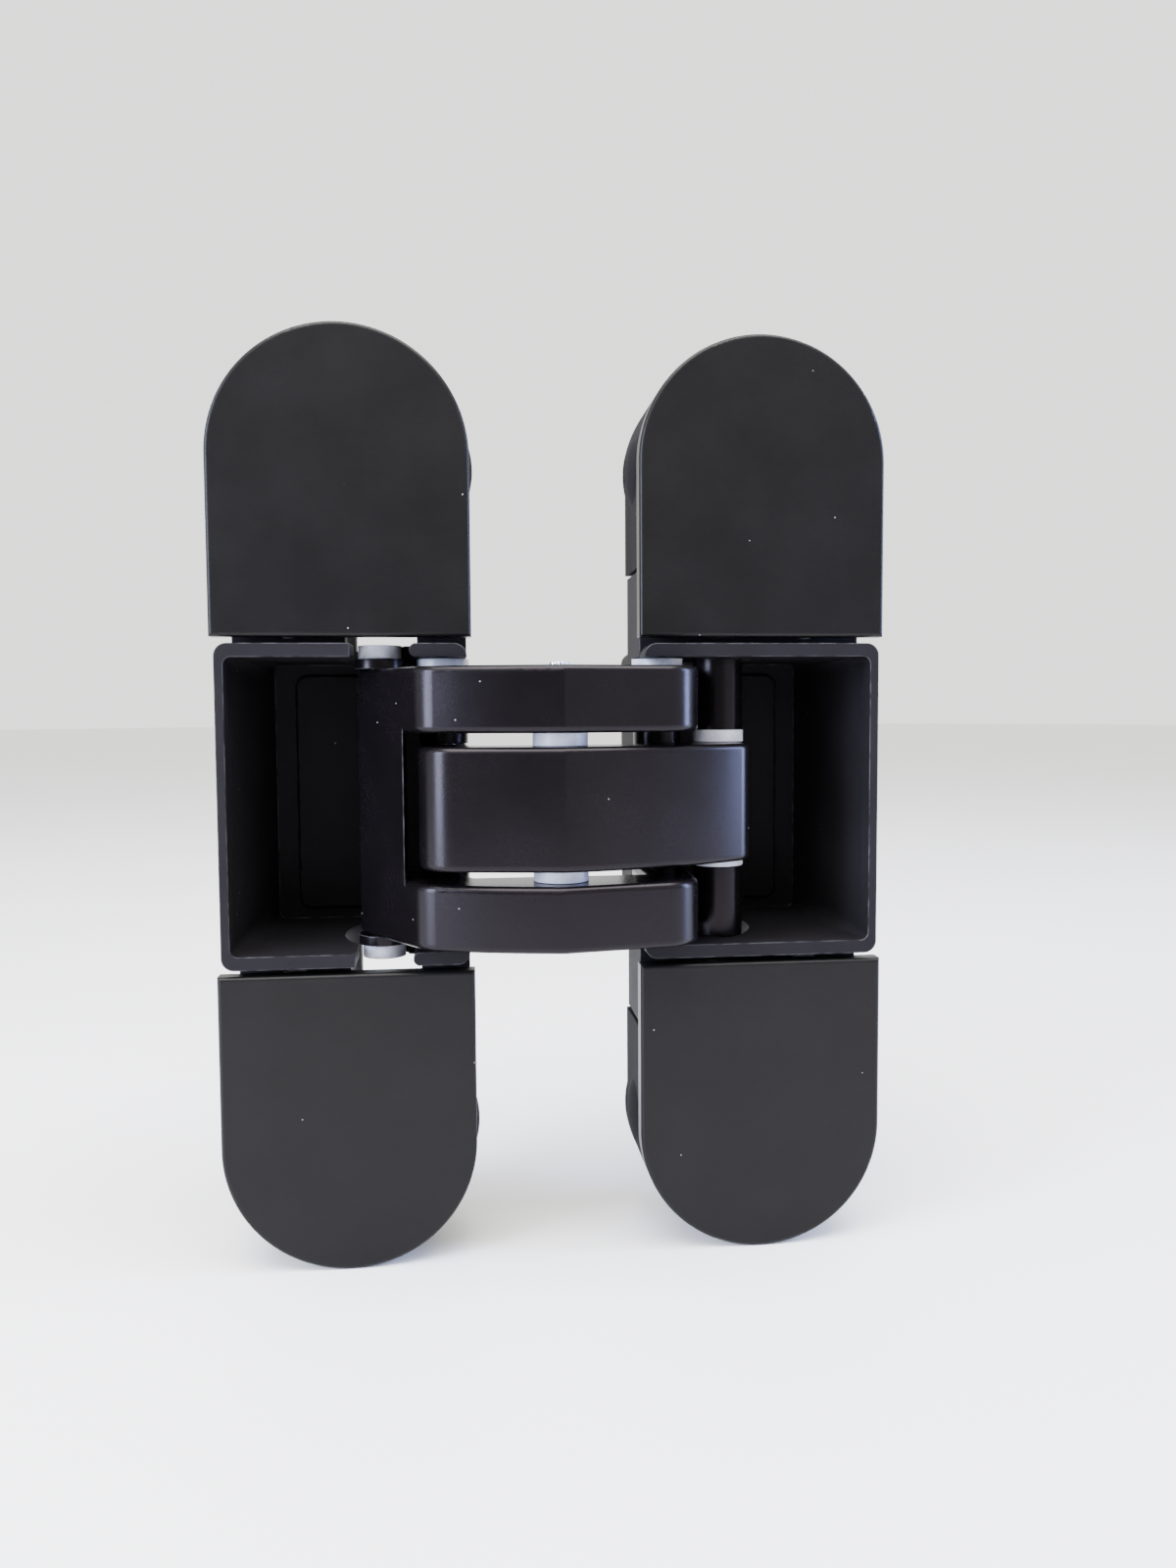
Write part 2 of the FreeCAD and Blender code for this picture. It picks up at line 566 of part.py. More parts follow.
def make_guide_pin():
    """Pin through the fork's guide end, up to the outer faces of the pocket's walls."""
    return upright(-GUIDE_X, GUIDE_Y, GUIDE_PIN_RADIUS, -POCKET_HALF_HEIGHT, POCKET_HALF_HEIGHT)


def make_guide_rollers():
    """Plastic rollers on the guide pin's ends, which run in the pocket's slots."""
    roller = tube(-GUIDE_X, GUIDE_Y, ROLLER_RADIUS, GUIDE_PIN_RADIUS + RUNNING_CLEARANCE,
                  POCKET_INNER_HALF, POCKET_HALF_HEIGHT)
    return both_levels(roller)


def make_guide_sleeves(bottom):
    """Left guide pin's spacing sleeves, from a height up to the pocket's wall."""
    sleeve = tube(-GUIDE_X, GUIDE_Y, GUIDE_SLEEVE_RADIUS, GUIDE_PIN_RADIUS + RUNNING_CLEARANCE,
                  bottom, POCKET_INNER_HALF - END_CLEARANCE)
    return both_levels(sleeve)


def build():
    """Every piece by its name, in leaf coordinates."""
    cap = make_cap()
    block = make_block()
    adjuster = make_adjuster()
    leaf = {
        "upper_block": block,
        "lower_block": over(block),
        "upper_cap": cap,
        "lower_cap": over(cap),
        "upper_adjuster": adjuster,
        "lower_adjuster": over(adjuster),
        "pivot_pin": make_pivot_pin(),
        "pivot_washers": make_pivot_washers(),
        "guide_pin": make_guide_pin(),
        "guide_rollers": make_guide_rollers(),
    }
    pieces = {}
    for name, shape in leaf.items():
        pieces["left_" + name] = shape
        pieces["right_" + name] = across(shape)
    pieces["left_pocket"] = make_pocket(True)
    pieces["right_pocket"] = across(make_pocket(False))
    pieces["fork_arm"] = make_fork_arm()
    pieces["centre_arm"] = make_centre_arm()
    pieces["centre_pin"] = make_centre_pin()
    pieces["centre_washers"] = gap_washers(0, CENTRE_Y, CENTRE_PIN_RADIUS)
    pieces["left_pivot_sleeves"] = make_pivot_sleeves()
    pieces["right_pivot_sleeve"] = make_middle_sleeve()
    pieces["right_guide_washers"] = gap_washers(GUIDE_X, GUIDE_Y, GUIDE_PIN_RADIUS)
    pieces["left_guide_sleeves"] = make_guide_sleeves(ARM_STACK_HALF + END_CLEARANCE)
    pieces["right_guide_sleeves"] = across(make_guide_sleeves(FORK_INNER))
    return pieces


def main():
    os.makedirs("parts", exist_ok=True)
    to_origin = vec(0, (CREASE_FRONT - POCKET_DEPTH) / 2, HALF_HEIGHT)
    for name, shape in build().items():
        shape.translate(to_origin)
        shape.exportStep("parts/" + name + ".step")
    pivot_turn, cross_turn = swing_angles()
    print("pivot turn", round(math.degrees(pivot_turn), 3), "cross turn", round(math.degrees(cross_turn), 3))
    print("origin shift", to_origin)


main()
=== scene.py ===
"""Looks of a concealed door hinge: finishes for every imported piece, fine turned details, light and camera."""
import logging
import math
from dataclasses import dataclass, field
from enum import Enum

import bmesh
import bpy
from mathutils import Matrix, Vector


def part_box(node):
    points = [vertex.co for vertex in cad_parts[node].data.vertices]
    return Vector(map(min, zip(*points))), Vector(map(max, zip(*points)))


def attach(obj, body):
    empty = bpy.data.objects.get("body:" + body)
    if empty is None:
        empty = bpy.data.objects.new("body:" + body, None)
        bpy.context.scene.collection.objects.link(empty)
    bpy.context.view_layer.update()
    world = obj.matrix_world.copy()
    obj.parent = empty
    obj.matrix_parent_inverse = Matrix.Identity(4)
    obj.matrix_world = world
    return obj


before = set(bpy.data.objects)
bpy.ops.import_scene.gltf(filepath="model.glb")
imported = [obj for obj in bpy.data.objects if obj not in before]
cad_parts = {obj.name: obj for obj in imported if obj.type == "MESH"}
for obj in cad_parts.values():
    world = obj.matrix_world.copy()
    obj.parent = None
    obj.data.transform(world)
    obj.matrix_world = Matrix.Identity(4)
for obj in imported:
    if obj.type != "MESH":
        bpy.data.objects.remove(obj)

log = logging.getLogger("hinge")
MM = 0.001
NOISE_MIDDLE = 0.5
EDGE_SAMPLES = 6
MIX_SHARE, MIX_FIRST, MIX_SECOND = 0, 6, 7  # the Mix node's inputs, when it mixes colours
MIX_RESULT = 2  # its output then
Colour = tuple[float, float, float, float]
Span = tuple[float, float]


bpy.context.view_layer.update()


class Side(Enum):
    """The two leaves of the hinge."""

    LEFT = "left"
    RIGHT = "right"


class Level(Enum):
    """The two ends of a leaf."""

    UPPER = "upper"
    LOWER = "lower"


class Body(Enum):
    """The rigid bodies that the linkage's added pieces ride on."""

    CENTRE_ARM = "centre_arm"
    FORK_ARM = "fork_arm"


class Finish(Enum):
    """The finishes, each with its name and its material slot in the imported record."""

    COAT = ("black_cast_coat", "black_coat")
    # The pocket's finish is a lighter copy of the black coat: painted light inside the pockets.
    POCKET_PAINTED_LIGHT = ("dull_pocket_coat", "black_coat")
    BLOCK = ("dull_block_coat", "black_caps")
    CAPS = ("black_cap_coat", "black_caps")
    PLASTIC = ("grey_bearing_plastic", "grey_plastic")
    STEEL = ("turned_steel", "steel_pins")

    @property
    def title(self) -> str:
        """Return the material's name."""
        return self.value[0]

    @property
    def slot(self) -> str:
        """Return the slot in the record."""
        return self.value[1]


class Reading:
    """A socket's value, on which Python's arithmetic adds Math nodes."""

    def __init__(self, bench: "Bench", socket: bpy.types.NodeSocket) -> None:
        """Wrap an output socket.

        Args:
            bench: The material's bench, which makes the nodes.
            socket: The output socket to read.
        """
        self.bench = bench
        self.socket = socket

    def _maths(self, operation: str, first: object, second: object) -> "Reading":
        """Add one Math node on two values.

        Args:
            operation: The Math node's operation.
            first: A number or a reading.
            second: A number or a reading.

        Returns:
            The node's result.
        """
        return self.bench.read("ShaderNodeMath", {"operation": operation}, {0: first, 1: second})

    def __add__(self, other: object) -> "Reading":
        """Return self + other."""
        return self._maths("ADD", self, other)

    def __radd__(self, other: object) -> "Reading":
        """Return other + self."""
        return self._maths("ADD", other, self)

    def __sub__(self, other: object) -> "Reading":
        """Return self - other."""
        return self._maths("SUBTRACT", self, other)

    def __rsub__(self, other: object) -> "Reading":
        """Return other - self."""
        return self._maths("SUBTRACT", other, self)

    def __mul__(self, other: object) -> "Reading":
        """Return self * other."""
        return self._maths("MULTIPLY", self, other)

    def __rmul__(self, other: object) -> "Reading":
        """Return other * self."""
        return self._maths("MULTIPLY", other, self)

    def __lt__(self, other: object) -> "Reading":
        """Return 1 where self is below other, and 0 elsewhere."""
        return self._maths("LESS_THAN", self, other)

    def about_zero(self) -> "Reading":
        """Return a noise less its middle, so that it varies about 0."""
        return self - NOISE_MIDDLE

    def ramp(self, low: float, high: float) -> "Reading":
        """Rise smoothly from 0 to 1 between two values.

        Args:
            low: The value that gives 0.
            high: The value that gives 1.

        Returns:
            The share, from 0 to 1.
        """
        settings = {"interpolation_type": "SMOOTHSTEP"}
        return self.bench.read("ShaderNodeMapRange", settings, {0: self, 1: low, 2: high})


class Use(Enum):
    """What a bench is set up for: its shader, its output node and the place that patterns follow."""

    MATERIAL = ("ShaderNodeBsdfPrincipled", "ShaderNodeOutputMaterial", "Object")
    WORLD = ("ShaderNodeBackground", "ShaderNodeOutputWorld", "Generated")


class Bench:
    """Makes the nodes of one material, or of the world."""

    def __init__(self, owner: bpy.types.Material | bpy.types.World, use: Use = Use.MATERIAL) -> None:
        """Start with only the shader.

        Args:
            owner: The new material, or the world.
            use: What the nodes are for.
        """
        shader, output, place = use.value
        owner.use_nodes = True
        self.owner = owner
        self.tree = owner.node_tree
        self.tree.nodes.clear()
        self.shader = self.node(shader, {}, {})
        end = self.node(output, {}, {})
        self.tree.links.new(self.shader.outputs[0], end.inputs["Surface"])
        self.place = self.read("ShaderNodeTexCoord", {}, {}, place)

    @classmethod
    def material(cls, name: str) -> "Bench":
        """Return the bench of a new material of that name."""
        return cls(bpy.data.materials.new(name))

    def node(self, kind: str, settings: dict[str, object], inputs: dict[object, object]) -> bpy.types.Node:
        """Add any node.

        Args:
            kind: Blender's type name of the node.
            settings: Properties of the node, which are set first.
            inputs: Values or readings by the input's name or number.

        Returns:
            The new node.
        """
        made = self.tree.nodes.new(kind)
        for key, value in settings.items():
            setattr(made, key, value)
        for key, value in inputs.items():
            self.feed(made, key, value)
        return made

    def feed(self, node: bpy.types.Node, key: object, value: object) -> None:
        """Set one input to a value, or link a reading to it.

        Args:
            node: The node that is fed.
            key: The input's name or number.
            value: A number, colour, vector or reading.
        """
        if isinstance(value, Reading):
            self.tree.links.new(value.socket, node.inputs[key])
        else:
            node.inputs[key].default_value = value

    def read(self, kind: str, settings: dict[str, object], inputs: dict[object, object],
             output: object = 0) -> Reading:
        """Add a node and read one of its outputs.

        Args:
            kind: Blender's type name of the node.
            settings: Properties of the node, which are set first.
            inputs: Values or readings by the input's name or number.
            output: The output's name or number.

        Returns:
            The reading of that output.
        """
        return Reading(self, self.node(kind, settings, inputs).outputs[output])

    def noise(self, size: float, detail: float = 2.0, stretch: Vector = Vector((1, 1, 1))) -> Reading:
        """Noise whose marks have a real size.

        Args:
            size: Size of a mark in metres.
            detail: Octaves of finer noise.
            stretch: How much longer the marks are along each axis.

        Returns:
            The noise, from 0 to 1 about 0.5.
        """
        scale = Vector((1 / size / stretch.x, 1 / size / stretch.y, 1 / size / stretch.z))
        place = self.read("ShaderNodeMapping", {}, {"Vector": self.place, "Scale": scale}, "Vector")
        return self.read("ShaderNodeTexNoise", {}, {"Vector": place, "Scale": 1.0, "Detail": detail}, "Fac")

    def blend(self, share: Reading, first: object, second: object) -> Reading:
        """Mix two colours.

        Args:
            share: Share of the second colour.
            first: A colour or a reading of one.
            second: A colour or a reading of one.

        Returns:
            The mixed colour.
        """
        settings = {"data_type": "RGBA", "clamp_factor": True}
        inputs = {MIX_SHARE: share, MIX_FIRST: first, MIX_SECOND: second}
        return self.read("ShaderNodeMix", settings, inputs, MIX_RESULT)

    def edges(self, radius: float) -> tuple[Reading, Reading]:
        """Normals that round the sharp edges, and how near an edge is.

        Args:
            radius: Radius of the rounding in metres.

        Returns:
            The rounded normal, and a mask that is 1 on an edge.
        """
        rounded = self.read("ShaderNodeBevel", {"samples": EDGE_SAMPLES}, {"Radius": radius}, "Normal")
        flat = self.read("ShaderNodeNewGeometry", {}, {}, "Normal")
        same = self.read("ShaderNodeVectorMath", {"operation": "DOT_PRODUCT"}, {0: rounded, 1: flat}, "Value")
        return rounded, 1 - same

    def bump(self, height: Reading, strength: float, distance: float, normal: Reading) -> Reading:
        """Raise a pattern as bump.

        Args:
            height: The pattern, from 0 to 1.
            strength: How much of the bump shows.
            distance: Height of the pattern in metres.
            normal: The normal that it is laid on.

        Returns:
            The bumped normal.
        """
        inputs = {"Strength": strength, "Distance": distance, "Height": height, "Normal": normal}
        return self.read("ShaderNodeBump", {}, inputs, "Normal")

    def specks(self, spacing: float, radius: float, kept: float) -> Reading:
        """Scattered round specks.

        Args:
            spacing: Mean distance between places for a speck, in metres.
            radius: Radius of a speck in metres.
            kept: Share of the places that have a speck.

        Returns:
            A mask that is 1 on a speck.
        """
        place = self.read("ShaderNodeVectorMath", {"operation": "SCALE"},
                          {0: self.place, "Scale": 1 / spacing}, "Vector")
        cells = self.node("ShaderNodeTexVoronoi", {"feature": "F1"}, {"Vector": place, "Scale": 1.0})
        chance = self.read("ShaderNodeSeparateColor", {}, {0: Reading(self, cells.outputs["Color"])}, 0)
        near = Reading(self, cells.outputs["Distance"]) < radius / spacing
        return near * (chance < kept)

    def finish(self, **inputs: object) -> bpy.types.Material | bpy.types.World:
        """Feed the shader.

        Args:
            **inputs: Values or readings by the shader input's name, with _ for a space.

        Returns:
            The finished material, or the world.
        """
        for key, value in inputs.items():
            self.feed(self.shader, key.replace("_", " "), value)
        return self.owner


@dataclass(frozen=True)
class Coat:
    """Black powder coat on cast metal."""

    deep: Colour
    dusty: Colour
    # Colour of the lighter edges: partly rubbed coat, partly a painted highlight where the rounded edges catch
    # light.
    rub_and_highlight: Colour = (0.16, 0.16, 0.175, 1.0)
    speck: Colour = (0.19, 0.185, 0.18, 1.0)
    roughness: float = 0.42
    roughness_play: float = 0.1
    specular: float = 0.22
    tint: Colour = (1.0, 0.9, 1.0, 1.0)
    grain: float = 0.22 * MM
    grain_detail: float = 3.0
    grain_height: float = 0.010 * MM
    grain_strength: float = 0.5
    grain_play: float = 0.12
    cloud: float = 9 * MM
    cloud_detail: float = 4.0
    cloud_share: Span = (0.3, 0.75)
    edge_round: float = 0.26 * MM
    edge_rub_and_highlight: float = 0.5
    edge_share: Span = (0.02, 0.3)
    rub_and_highlight_patch: float = 1.6 * MM
    rub_and_highlight_detail: float = 3.0
    rub_and_highlight_share: Span = (0.35, 0.62)
    speck_spacing: float = 2.6 * MM
    speck_radius: float = 0.09 * MM
    speck_share: float = 0.45
    speck_dullness: float = 0.4

    def material(self, name: str) -> bpy.types.Material:
        """Make the coat: fine grain, soft clouds, lighter edges that are partly rubbed coat and partly a
        painted highlight along the edges, and a few specks of dust.

        Args:
            name: The material's name.

        Returns:
            The material.
        """
        bench = Bench.material(name)
        grain = bench.noise(self.grain, self.grain_detail)
        cloud = bench.noise(self.cloud, self.cloud_detail)
        patches = bench.noise(self.rub_and_highlight_patch, self.rub_and_highlight_detail).ramp(*self.rub_and_highlight_share)
        rounded, edge = bench.edges(self.edge_round)
        # Lighter edges in patches: partly rubbed coat, partly a painted highlight along the edges.
        rub_and_highlight = edge.ramp(*self.edge_share) * patches * self.edge_rub_and_highlight
        specks = bench.specks(self.speck_spacing, self.speck_radius, self.speck_share)
        colour = bench.blend(cloud.ramp(*self.cloud_share), self.deep, self.dusty)
        colour = bench.blend(rub_and_highlight, colour, self.rub_and_highlight)
        colour = bench.blend(specks, colour, self.speck)
        rough = self.roughness + cloud.about_zero() * self.roughness_play
        rough = rough + grain.about_zero() * self.grain_play + specks * self.speck_dullness
        normal = bench.bump(grain, self.grain_strength, self.grain_height, rounded)
        return bench.finish(Base_Color=colour, Roughness=rough, Normal=normal,
                            Specular_IOR_Level=self.specular, Specular_Tint=self.tint)


@dataclass(frozen=True)
class Plastic:
    """Light grey moulded plastic of the washers and rollers."""

    plain: Colour = (0.44, 0.45, 0.51, 1.0)
    shade: Colour = (0.34, 0.35, 0.41, 1.0)
    worn: Colour = (0.7, 0.7, 0.72, 1.0)
    roughness: float = 0.4
    roughness_play: float = 0.15
    cloud: float = 1.5 * MM
    cloud_detail: float = 3.0
    cloud_share: Span = (0.35, 0.7)
    grain: float = 0.12 * MM
    grain_detail: float = 2.0
    grain_height: float = 0.006 * MM
    grain_strength: float = 0.3
    edge_round: float = 0.15 * MM
    edge_share: Span = (0.05, 0.35)
    edge_wear: float = 0.35

    def material(self, name: str) -> bpy.types.Material:
        """Make the plastic: a slight mottle, fine moulding grain and soft edges.

        Args:
            name: The material's name.

        Returns:
            The material.
        """
        bench = Bench.material(name)
        cloud = bench.noise(self.cloud, self.cloud_detail)
        grain = bench.noise(self.grain, self.grain_detail)
        rounded, edge = bench.edges(self.edge_round)
        colour = bench.blend(cloud.ramp(*self.cloud_share), self.plain, self.shade)
        colour = bench.blend(edge.ramp(*self.edge_share) * self.edge_wear, colour, self.worn)
        rough = self.roughness + cloud.about_zero() * self.roughness_play
        normal = bench.bump(grain, self.grain_strength, self.grain_height, rounded)
        return bench.finish(Base_Color=colour, Roughness=rough, Normal=normal)


@dataclass(frozen=True)
class Steel:
    """Turned steel of the pins and screws."""

    plain: Colour = (0.56, 0.56, 0.58, 1.0)
    oiled: Colour = (0.34, 0.34, 0.36, 1.0)
    worn: Colour = (0.8, 0.8, 0.82, 1.0)
    roughness: float = 0.3
    roughness_play: float = 0.2
    ring: float = 0.1 * MM
    ring_detail: float = 2.0
    ring_stretch: float = 40.0
    ring_height: float = 0.004 * MM
    ring_strength: float = 0.25
    film: float = 2.2 * MM
    film_detail: float = 3.0
    film_share: Span = (0.4, 0.75)
    edge_round: float = 0.12 * MM
    edge_share: Span = (0.05, 0.35)
    edge_wear: float = 0.4

    def material(self, name: str) -> bpy.types.Material:
        """Make the steel: fine turning rings along the pin and faint oil marks.

        Args:
            name: The material's name.

        Returns:
            The material.
        """
        bench = Bench.material(name)
        rings = bench.noise(self.ring, self.ring_detail, Vector((self.ring_stretch, self.ring_stretch, 1)))
        film = bench.noise(self.film, self.film_detail)
        rounded, edge = bench.edges(self.edge_round)
        colour = bench.blend(film.ramp(*self.film_share), self.plain, self.oiled)
        colour = bench.blend(edge.ramp(*self.edge_share) * self.edge_wear, colour, self.worn)
        rough = self.roughness + film.about_zero() * self.roughness_play
        normal = bench.bump(rings, self.ring_strength, self.ring_height, rounded)
        return bench.finish(Base_Color=colour, Metallic=1.0, Roughness=rough, Normal=normal)


@dataclass
class Paintshop:
    """The finishes of the hinge, made once each."""

    made: dict[Finish, bpy.types.Material] = field(default_factory=dict)

    def __post_init__(self) -> None:
        """Mix the finishes."""
        recipes = {
            Finish.COAT: Coat((0.0016, 0.0013, 0.0016, 1), (0.0023, 0.0019, 0.0023, 1),
                              roughness=0.25, specular=0.13, grain_height=0.015 * MM),
            # The pocket's coat is the same black coat made about four times lighter: painted light inside the
            # pockets, where the lamps hardly reach.
            Finish.POCKET_PAINTED_LIGHT: Coat((0.0062, 0.0057, 0.0066, 1), (0.0078, 0.0072, 0.0084, 1),
                                roughness=0.6, specular=0.06),
            # The blocks get half as much of the lighter edges, the rubbed coat with its painted edge highlight.
            Finish.BLOCK: Coat((0.0052, 0.0048, 0.0052, 1), (0.0066, 0.0061, 0.0066, 1),
                               roughness=0.75, specular=0.05, edge_rub_and_highlight=0.25),
            Finish.CAPS: Coat((0.0026, 0.0024, 0.0025, 1), (0.0034, 0.0032, 0.0033, 1),
                              roughness=0.36, specular=0.12, tint=(1, 0.97, 0.97, 1),
                              grain=0.16 * MM, grain_height=0.014 * MM, speck_spacing=3 * MM),
            Finish.PLASTIC: Plastic(),
            Finish.STEEL: Steel(),
        }
        for finish, recipe in recipes.items():
            self.made[finish] = recipe.material(finish.title)

    def dress(self, node: str, finish: Finish) -> None:
        """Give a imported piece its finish.

        Args:
            node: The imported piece's name.
            finish: Its finish.
        """
        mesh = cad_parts[node].data
        mesh.materials.clear()
        mesh.materials.append(self.made[finish])
        log.info("dressed %s in %s", node, finish.title)

    def add(self, name: str, shape: bmesh.types.BMesh, body: Body, finish: Finish) -> None:
        """Turn a shape into a piece that rides on a body.

        Args:
            name: The piece's name.
            shape: Its mesh, which is used up.
            body: The body that it rides on.
            finish: Its finish.
        """
        mesh = bpy.data.meshes.new(name)
        shape.normal_update()
        shape.to_mesh(mesh)
        shape.free()
        mesh.materials.append(self.made[finish])
        piece = bpy.data.objects.new(name, mesh)
        bpy.context.scene.collection.objects.link(piece)
        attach(piece, body.value)
        log.info("added %s on %s, %d faces", name, body.value, len(mesh.polygons))


@dataclass
class Leaf:
    """One leaf: its pocket casting, blocks, caps, adjusters and pivot."""

    side: Side

    def dress(self, shop: Paintshop) -> None:
        """Give every piece of the leaf its finish.

        Args:
            shop: The finishes.
        """
        side = self.side.value
        # The pocket gets the lighter copy of the black coat, with painted light inside it.
        shop.dress(side + "_pocket", Finish.POCKET_PAINTED_LIGHT)
        for level in Level:
            shop.dress(f"{side}_{level.value}_block", Finish.BLOCK)
            shop.dress(f"{side}_{level.value}_cap", Finish.CAPS)
            shop.dress(f"{side}_{level.value}_adjuster", Finish.STEEL)
        shop.dress(side + "_pivot_pin", Finish.STEEL)
        shop.dress(side + "_guide_pin", Finish.STEEL)
        shop.dress(side + "_pivot_washers", Finish.PLASTIC)
        shop.dress(side + "_guide_rollers", Finish.PLASTIC)


@dataclass
class Linkage:
    """The crossed arms with their centre pin, sleeves and washers."""

    knurl_teeth: int = 22
    knurl_depth: float = 0.07 * MM
    knurl_gap: float = 0.02 * MM
    knurl_reach: float = 1.22 * MM

    def dress(self, shop: Paintshop) -> None:
        """Give every piece of the linkage its finish.

        Args:
            shop: The finishes.
        """
        for node in ("fork_arm", "centre_arm", "left_pivot_sleeves", "right_pivot_sleeve",
                     "left_guide_sleeves", "right_guide_sleeves"):
            shop.dress(node, Finish.COAT)
        shop.dress("centre_pin", Finish.STEEL)
        shop.dress("centre_washers", Finish.PLASTIC)
        shop.dress("right_guide_washers", Finish.PLASTIC)

    def knurl(self, shop: Paintshop) -> None:
        """Add the knurled ring on the centre pin's nub above the upper arm.

        Args:
            shop: The finishes.
        """
        pin_low, pin_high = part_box("centre_pin")
        arm_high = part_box("fork_arm")[1]
        centre = (pin_low + pin_high) / 2
        low = arm_high.z + self.knurl_gap
        high = pin_high.z - self.knurl_gap
        shape = bmesh.new()
        rings = []
        for height in (low, high):
            ring = []
            for step in range(2 * self.knurl_teeth):
                reach = self.knurl_reach - self.knurl_depth * (step % 2)
                angle = math.pi * step / self.knurl_teeth
                ring.append(shape.verts.new((centre.x + reach * math.cos(angle),
                                             centre.y + reach * math.sin(angle), height)))
            rings.append(ring)
        bottom, top = rings
        for step in range(len(bottom)):
            after = (step + 1) % len(bottom)
            shape.faces.new((bottom[step], bottom[after], top[after], top[step]))
        shape.faces.new(top)
        shape.faces.new(list(reversed(bottom)))
        shop.add("centre_pin_knurl", shape, Body.CENTRE_ARM, Finish.STEEL)


@dataclass(frozen=True)
class SoftBox:
    """One soft box, in metres and watts, which faces the middle of the hinge."""

    name: str
    place: tuple[float, float, float]
    size: Span
    power: float
    colour: tuple[float, float, float]
    aim_height: float = 60 * MM

    def hang(self) -> None:
        """Hang the soft box."""
        lamp = bpy.data.lights.new(self.name, "AREA")
        lamp.shape = "RECTANGLE"
        lamp.size, lamp.size_y = self.size
        lamp.energy = self.power
        lamp.color = self.colour
        holder = bpy.data.objects.new(self.name, lamp)
        bpy.context.scene.collection.objects.link(holder)
        place = Vector(self.place)
        aim = Vector((0, 0, self.aim_height)) - place
        turn = aim.to_track_quat("-Z", "Y").to_matrix().to_4x4()
        holder.matrix_world = Matrix.Translation(place) @ turn


@dataclass
class Floor:
    """Wide pale floor, which reaches far behind the hinge and only a little in front of it."""

    reach: float = 3.0
    behind: float = 2.6
    sides: int = 96
    plain: Colour = (0.80, 0.79, 0.775, 1.0)
    shade: Colour = (0.77, 0.765, 0.755, 1.0)
    roughness: float = 0.45
    cloud: float = 0.12
    cloud_share: Span = (0.3, 0.7)

    def material(self) -> bpy.types.Material:
        """Return the floor's plain, faintly clouded material."""
        bench = Bench.material("pale_floor")
        colour = bench.blend(bench.noise(self.cloud).ramp(*self.cloud_share), self.plain, self.shade)
        return bench.finish(Base_Color=colour, Roughness=self.roughness)

    def lay(self) -> None:
        """Lay the floor."""
        shape = bmesh.new()
        bmesh.ops.create_circle(shape, cap_ends=True, radius=self.reach, segments=self.sides)
        mesh = bpy.data.meshes.new("floor")
        shape.to_mesh(mesh)
        shape.free()
        mesh.materials.append(self.material())
        floor = bpy.data.objects.new("floor", mesh)
        floor.location.y = self.behind
        bpy.context.scene.collection.objects.link(floor)


@dataclass
class Air:
    """Pale light from all round, dimmer low down on the side that the camera stands on."""

    colour: Colour = (0.93, 0.925, 0.91, 1.0)
    strength: float = 2.1
    dim_strength: float = 0.4
    dim_side: tuple[float, float, float] = (-0.42, -1.0, 0.0)
    dim_ramp: Span = (0.55, 0.92)
    dim_top: Span = (0.06, 0.34)

    def fill(self) -> None:
        """Fill the surroundings."""
        bench = Bench(bpy.data.worlds.new("pale_air"), Use.WORLD)
        toward = bench.read("ShaderNodeVectorMath", {"operation": "DOT_PRODUCT"},
                            {0: bench.place, 1: Vector(self.dim_side).normalized()}, "Value")
        height = bench.read("ShaderNodeSeparateXYZ", {}, {0: bench.place}, "Z")
        dim = toward.ramp(*self.dim_ramp) * (1 - height.ramp(*self.dim_top))
        strength = self.strength - dim * (self.strength - self.dim_strength)
        bpy.context.scene.world = bench.finish(Color=self.colour, Strength=strength)


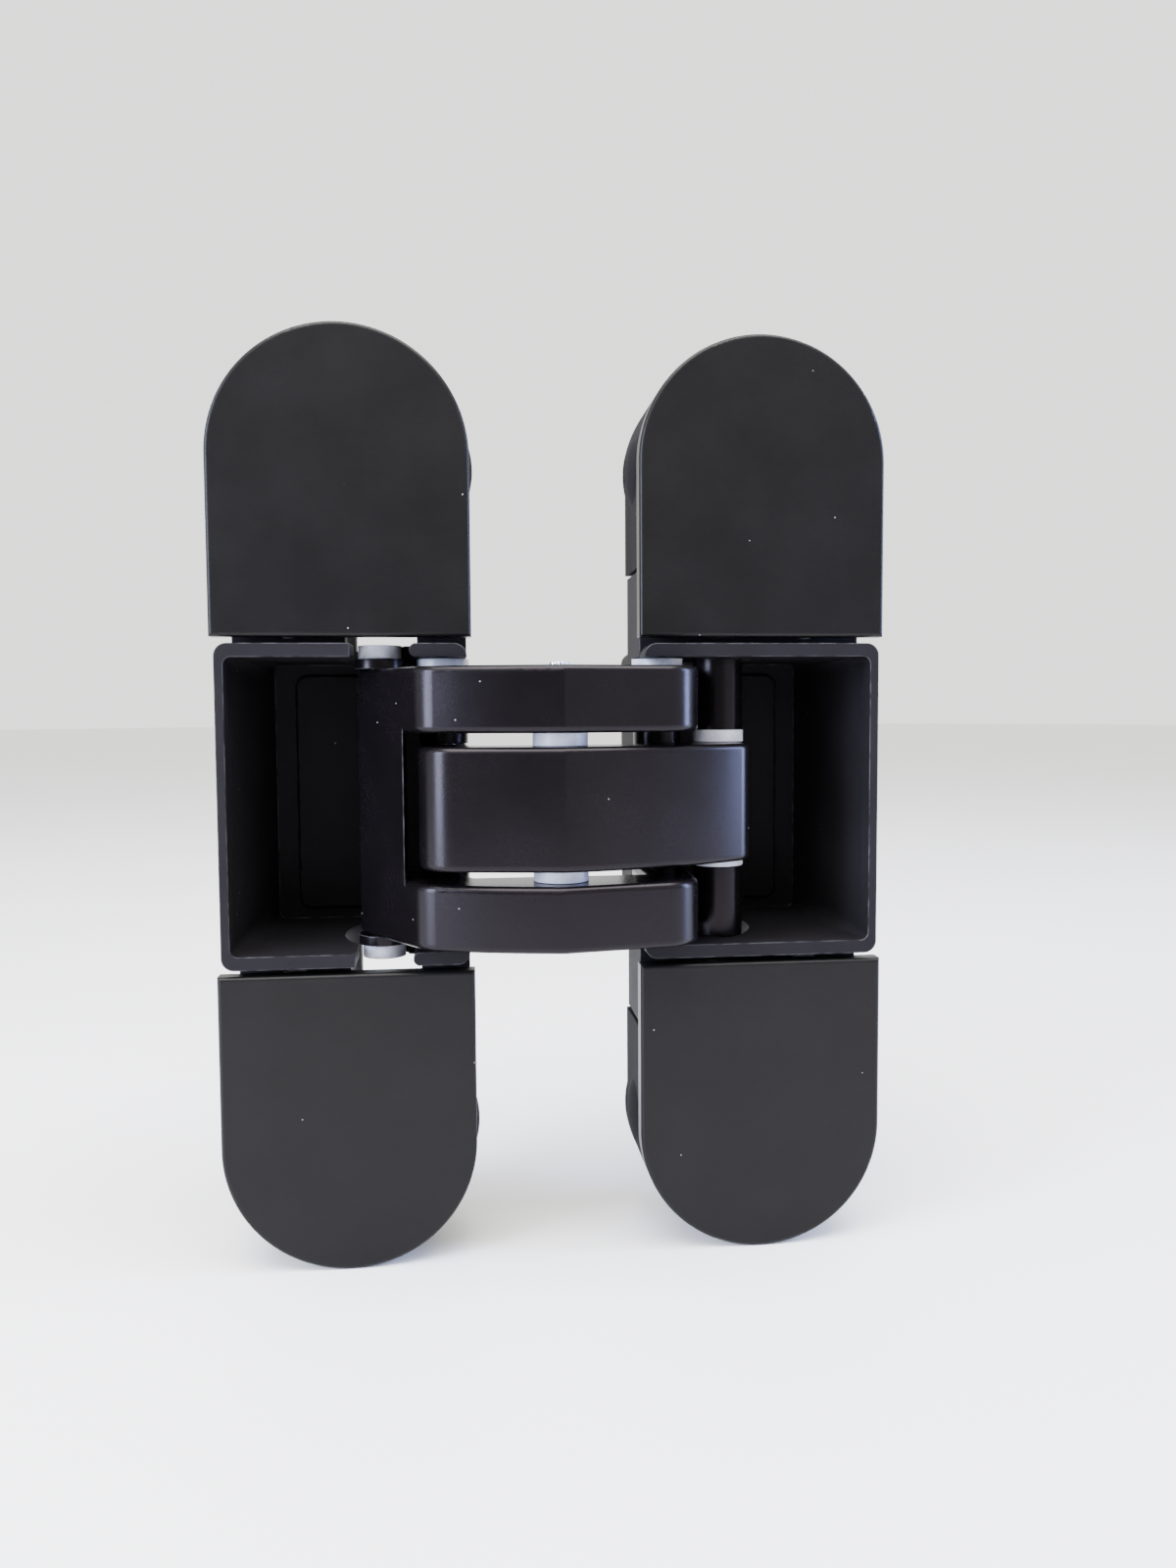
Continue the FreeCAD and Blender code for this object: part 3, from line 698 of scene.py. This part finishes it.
@dataclass
class Camera:
    """The camera, standing where the photograph was taken from; angles in radians."""

    place: tuple[float, float, float] = (-12.92 * MM, -157.56 * MM, 71.18 * MM)
    yaw: float = math.radians(6.47)
    pitch: float = math.radians(3.63)
    roll: float = math.radians(0.34)
    lens: float = 27.0
    sensor: float = 36.0
    nearest: float = 1 * MM

    def stand(self) -> None:
        """Stand the camera and make it the scene's own."""
        ahead = Vector((math.sin(self.yaw) * math.cos(self.pitch), math.cos(self.yaw) * math.cos(self.pitch),
                        -math.sin(self.pitch)))
        level_right = Vector((math.cos(self.yaw), -math.sin(self.yaw), 0))
        level_down = ahead.cross(level_right)
        right = level_right * math.cos(self.roll) + level_down * math.sin(self.roll)
        down = level_down * math.cos(self.roll) - level_right * math.sin(self.roll)
        data = bpy.data.cameras.new("camera")
        data.sensor_fit = "AUTO"
        data.sensor_width = self.sensor
        data.lens = self.lens
        data.clip_start = self.nearest
        holder = bpy.data.objects.new("camera", data)
        bpy.context.scene.collection.objects.link(holder)
        turn = Matrix((right, -down, -ahead)).transposed().to_4x4()
        holder.matrix_world = Matrix.Translation(Vector(self.place)) @ turn
        bpy.context.scene.camera = holder


@dataclass
class Studio:
    """Pale floor, soft light and the camera."""

    floor: Floor = field(default_factory=Floor)
    air: Air = field(default_factory=Air)
    camera: Camera = field(default_factory=Camera)
    boxes: tuple[SoftBox, ...] = (
        SoftBox("left_soft_box", (-0.515, -0.305, 0.2), (0.22, 0.45), 16.0, (0.68, 0.76, 1.0)),
        SoftBox("right_soft_box", (0.64, -0.1, 0.2), (0.16, 0.5), 14.5, (0.42, 0.53, 1.0)),
        SoftBox("top_soft_box", (0.0, -0.15, 0.6), (0.6, 0.4), 14.0, (1.0, 0.99, 0.97)),
        SoftBox("fill_soft_box", (-0.12, -0.32, 0.45), (0.3, 0.2), 1.5, (1.0, 0.98, 0.97)),
    )

    def build(self) -> None:
        """Set up the whole studio."""
        self.floor.lay()
        self.air.fill()
        for box in self.boxes:
            box.hang()
        self.camera.stand()


def main() -> None:
    """Dress the hinge and set up the studio."""
    logging.basicConfig(level=logging.INFO, format="%(message)s")
    Studio().build()
    shop = Paintshop()
    for side in Side:
        Leaf(side).dress(shop)
    linkage = Linkage()
    linkage.dress(shop)
    linkage.knurl(shop)


if __name__ == "__main__":
    main()
